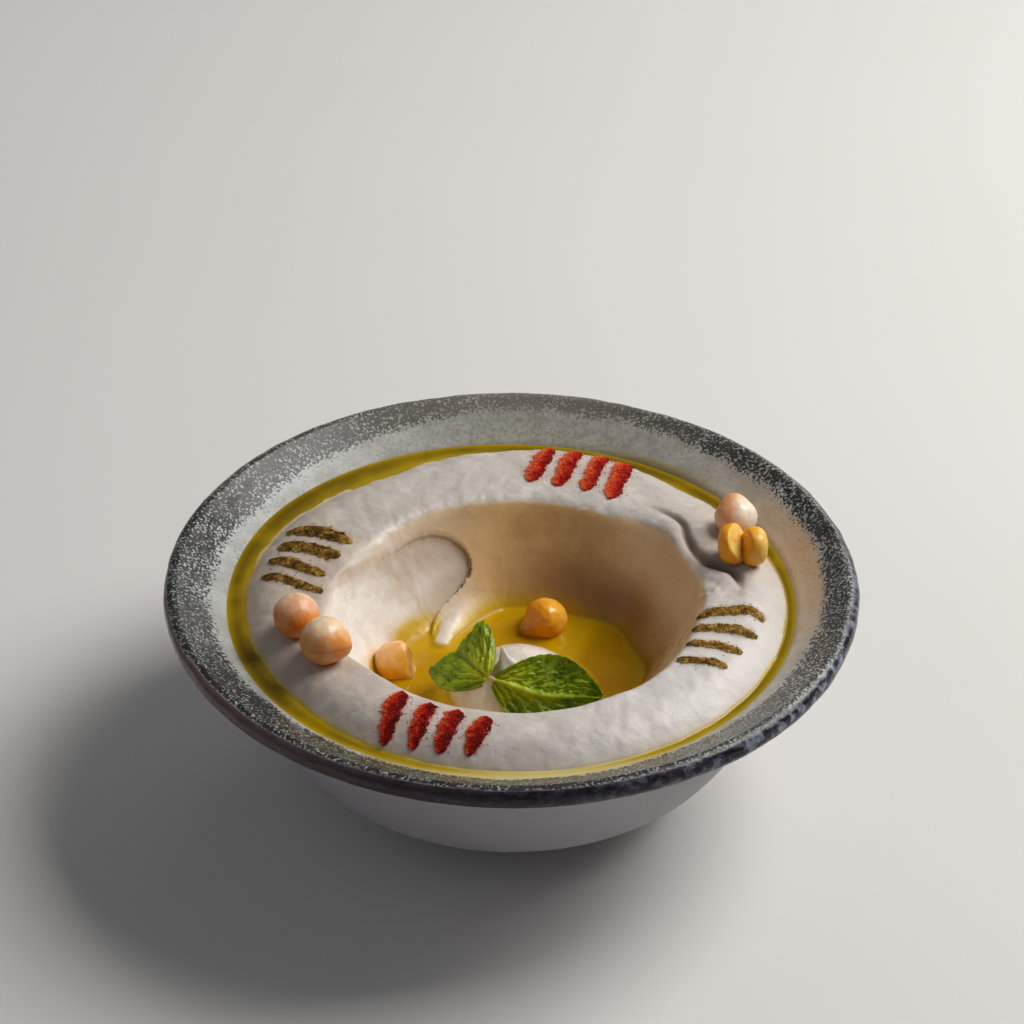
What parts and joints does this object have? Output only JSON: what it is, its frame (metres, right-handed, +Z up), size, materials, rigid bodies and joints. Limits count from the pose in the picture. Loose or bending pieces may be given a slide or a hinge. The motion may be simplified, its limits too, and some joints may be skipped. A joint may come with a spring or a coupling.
{
  "type": "bowl of hummus",
  "caption": "Speckled stoneware bowl of hummus with a scooped well of olive oil, chickpeas, mint leaves and stripes of paprika and cumin.",
  "frame": {"origin": "on the table under the middle of the bowl's foot, which is the middle of the underside of the whole part's box", "axes": "+Z up from the table, -Y towards the viewer, +X to the viewer's right"},
  "size_m": [0.1762, 0.1762, 0.0677],
  "materials": {
    "glaze": "speckled grey stoneware glaze, satin to glossy",
    "hummus": "smooth moist chickpea paste with a soft sheen",
    "olive_oil": "glossy golden oil",
    "chickpea": "cooked chickpea skin, satin",
    "chickpea_yellow": "skinned cooked chickpea, satin and wet",
    "mint": "fresh leaf, waxy and wrinkled",
    "paprika": "coarse ground red spice, matte",
    "cumin": "coarse ground brown spice, matte"
  },
  "bodies": {
    "root": {"bowl": "glaze", "hummus": "hummus", "oil_ring": "olive_oil", "oil_pool": "olive_oil", "chickpea_ring_left_back": "chickpea", "chickpea_ring_left_front": "chickpea", "chickpea_oil_left": "chickpea", "chickpea_oil_back": "chickpea", "chickpea_ring_right_pale": "chickpea", "chickpea_ring_right_split": "chickpea_yellow", "mint_leaf_left": "mint", "mint_leaf_right": "mint"}
  },
  "joints": []
}
